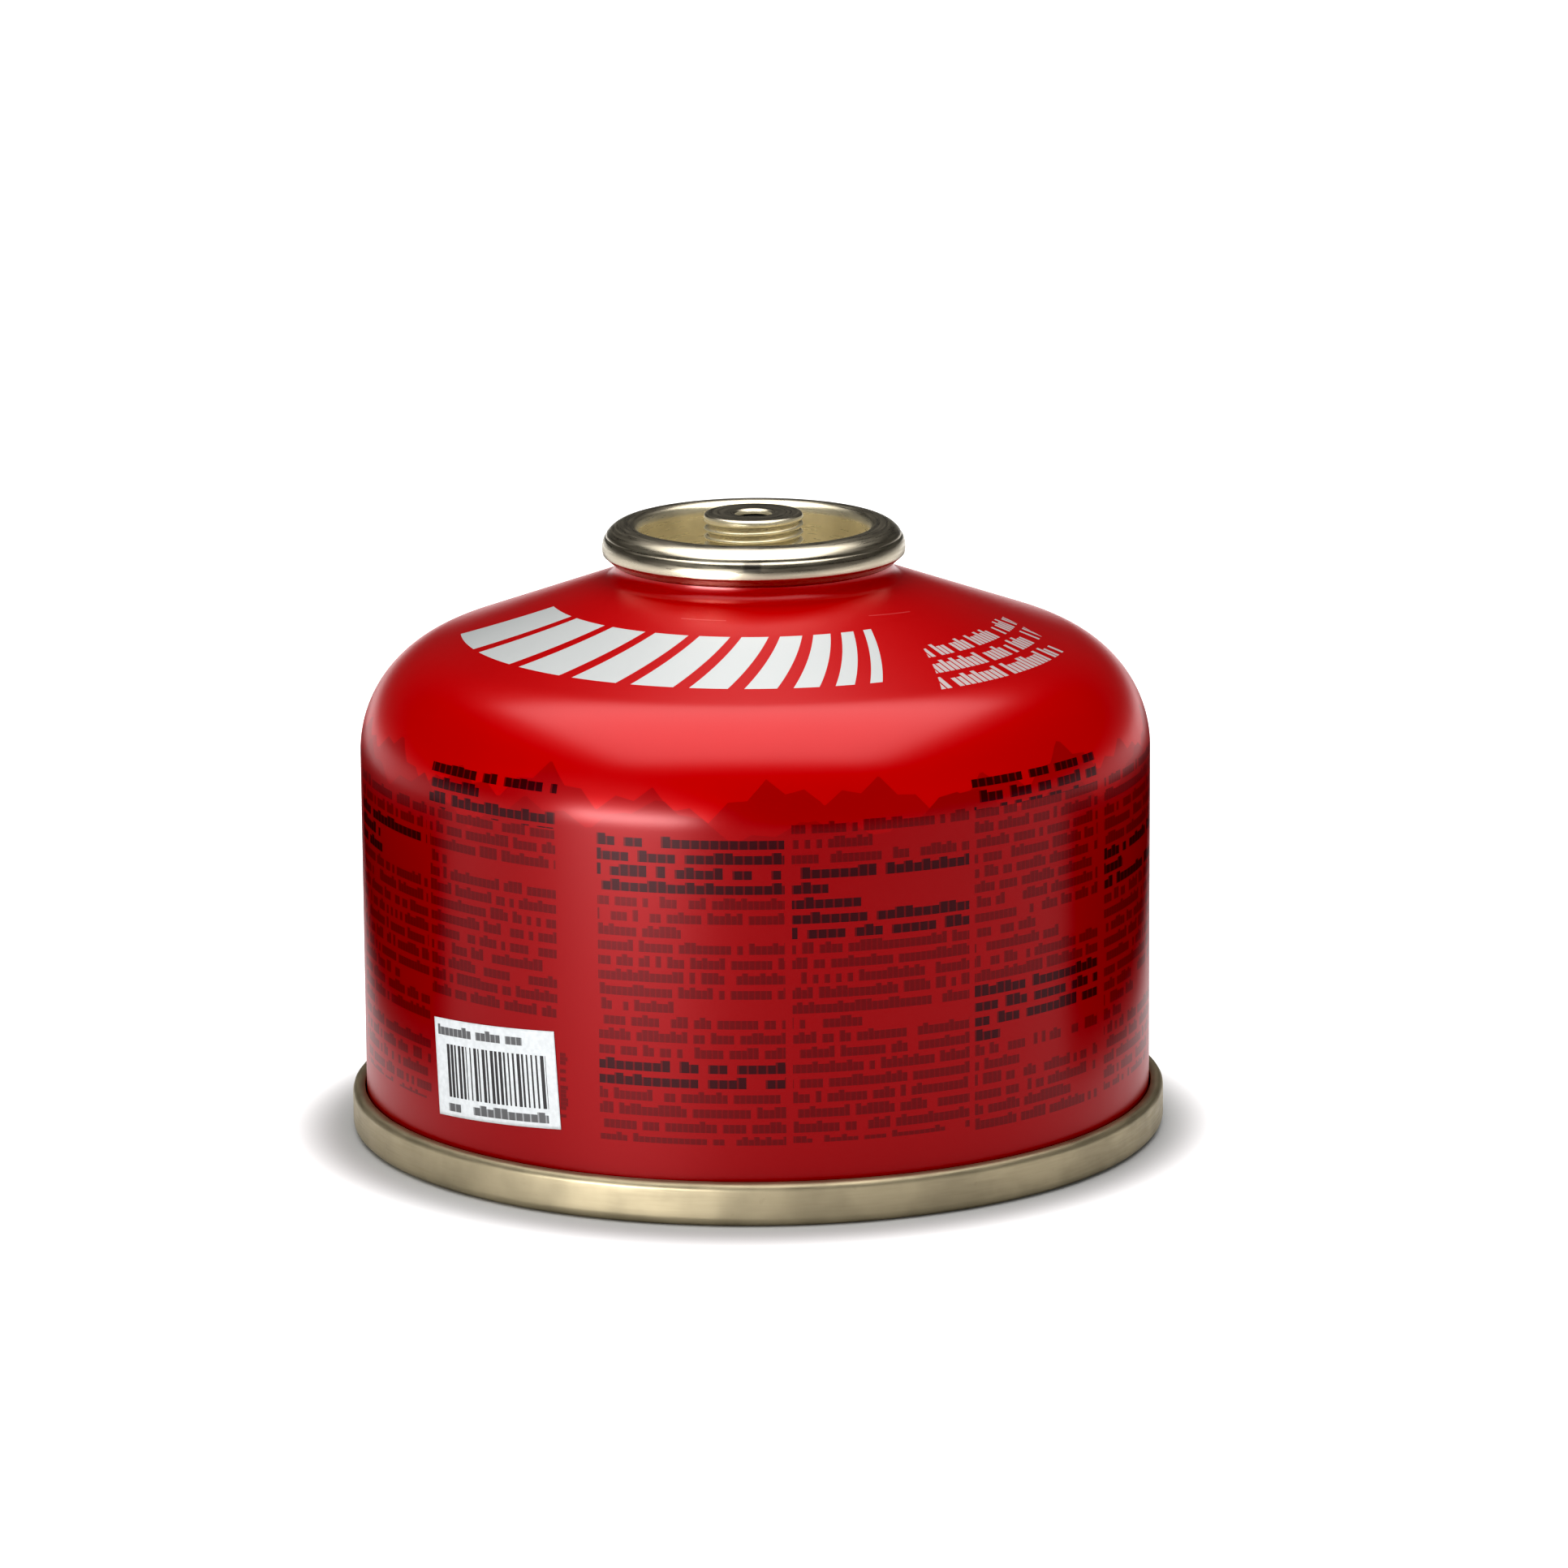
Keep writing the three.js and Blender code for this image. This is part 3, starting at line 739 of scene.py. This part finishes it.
# Painted contact shadow: the floor's glow is left out within about 44 to 55 mm of the can's foot.
glow_round_painted_shadow = from_can.smooth(0.044, 0.055) * behind.smooth(-300.0, -170.0) * 0.70
far_glow = behind.smooth(150.0, 900.0) * 0.3
floor_glow_and_painted_shadow = (glow_round_painted_shadow + far_glow).mix((0.01, 0.01, 0.01, 1), (1.0, 1.0, 1.0, 1))
feed(shader, Base_Color=(0.45, 0.45, 0.45, 1), Roughness=0.9, Specular_IOR_Level=0.0,
     Emission_Color=floor_glow_and_painted_shadow, Emission_Strength=1.0)

world = bpy.data.worlds.new("studio")
bpy.context.scene.world = world
world.use_nodes = True
background = world.node_tree.nodes["Background"]
background.inputs["Color"].default_value = (1, 1, 1, 1)
background.inputs["Strength"].default_value = 0.08


def softbox(name, place, aim, width, height, power):
    """A rectangular area light at a place, facing a point. Both are in metres."""
    lamp = bpy.data.lights.new(name, "AREA")
    lamp.shape = "RECTANGLE"
    lamp.size, lamp.size_y = width, height
    lamp.energy = power
    holder = bpy.data.objects.new(name, lamp)
    bpy.context.scene.collection.objects.link(holder)
    holder.location = place
    holder.rotation_mode = "QUATERNION"
    holder.rotation_quaternion = (Vector(place) - Vector(aim)).to_track_quat("Z", "Y")
    return holder


can_middle = (0, 0, 0.035)
softbox("overhead", (-0.02, -0.05, 0.72), (-0.02, -0.05, 0), 1.03, 0.95, 8.2)
card = softbox("card", (-0.22, -0.32, 0.028), (0, 0, 0.01), 0.24, 0.05, 1.0)
card.visible_diffuse = False
for side, power in ((-1, 3.2), (1, 2.6)):
    side_fill = softbox("side_fill", (side * 0.60, -0.50, 0.22), can_middle, 0.7, 0.4, power)
    side_fill.visible_glossy = False

black_beside = 0.072
black_front, black_back = -0.02, 0.20
black_foot, black_head = 0.001, 0.034
black_outline = ((black_front, black_foot), (black_back, black_foot),
                 (black_back, black_head), (black_front, black_head))
black_mesh = bpy.data.meshes.new("black_cards")
black_corners = [(side * black_beside, away, up) for side in (-1, 1) for away, up in black_outline]
black_mesh.from_pydata(black_corners, [], [(0, 1, 2, 3), (4, 7, 6, 5)])
black_cards = bpy.data.objects.new("black_cards", black_mesh)
bpy.context.scene.collection.objects.link(black_cards)
for ray in ("camera", "diffuse", "shadow"):
    setattr(black_cards, "visible_" + ray, False)
shader, place = finish_of("black_card", black_cards)
weave = place.noise(300.0, 2.0)
feed(shader, Base_Color=weave.smooth(0.3, 0.7).mix((0.01, 0.01, 0.01, 1), (0.02, 0.02, 0.02, 1)),
     Roughness=0.9, Specular_IOR_Level=0.0)

view = bpy.context.scene.view_settings
view.view_transform = "Standard"
view.exposure = 0.28
view.gamma = 0.78
view.use_curve_mapping = True
view.curve_mapping.black_level = (0.016, 0.016, 0.016)

camera_rise = math.radians(13.1)
camera_distance = 0.86
camera_target = Vector((0, 0, 0.033))
camera_roll = math.radians(-0.45)
picture_size = 1932
focal_pixels = 9606
target_pixel = (931.4, 1019.5)
camera_data = bpy.data.cameras.new("camera")
camera_data.sensor_width = 36
camera_data.lens = 36 * focal_pixels / picture_size
camera_data.shift_x = (picture_size / 2 - target_pixel[0]) / picture_size
camera_data.shift_y = (target_pixel[1] - picture_size / 2) / picture_size
camera_data.clip_start, camera_data.clip_end = 0.05, 50
camera = bpy.data.objects.new("camera", camera_data)
bpy.context.scene.collection.objects.link(camera)
outward = Vector((0, -math.cos(camera_rise), math.sin(camera_rise)))
camera.matrix_world = (Matrix.Translation(camera_target + outward * camera_distance)
                       @ outward.to_track_quat("Z", "Y").to_matrix().to_4x4()
                       @ Matrix.Rotation(camera_roll, 4, "Z"))
bpy.context.scene.camera = camera
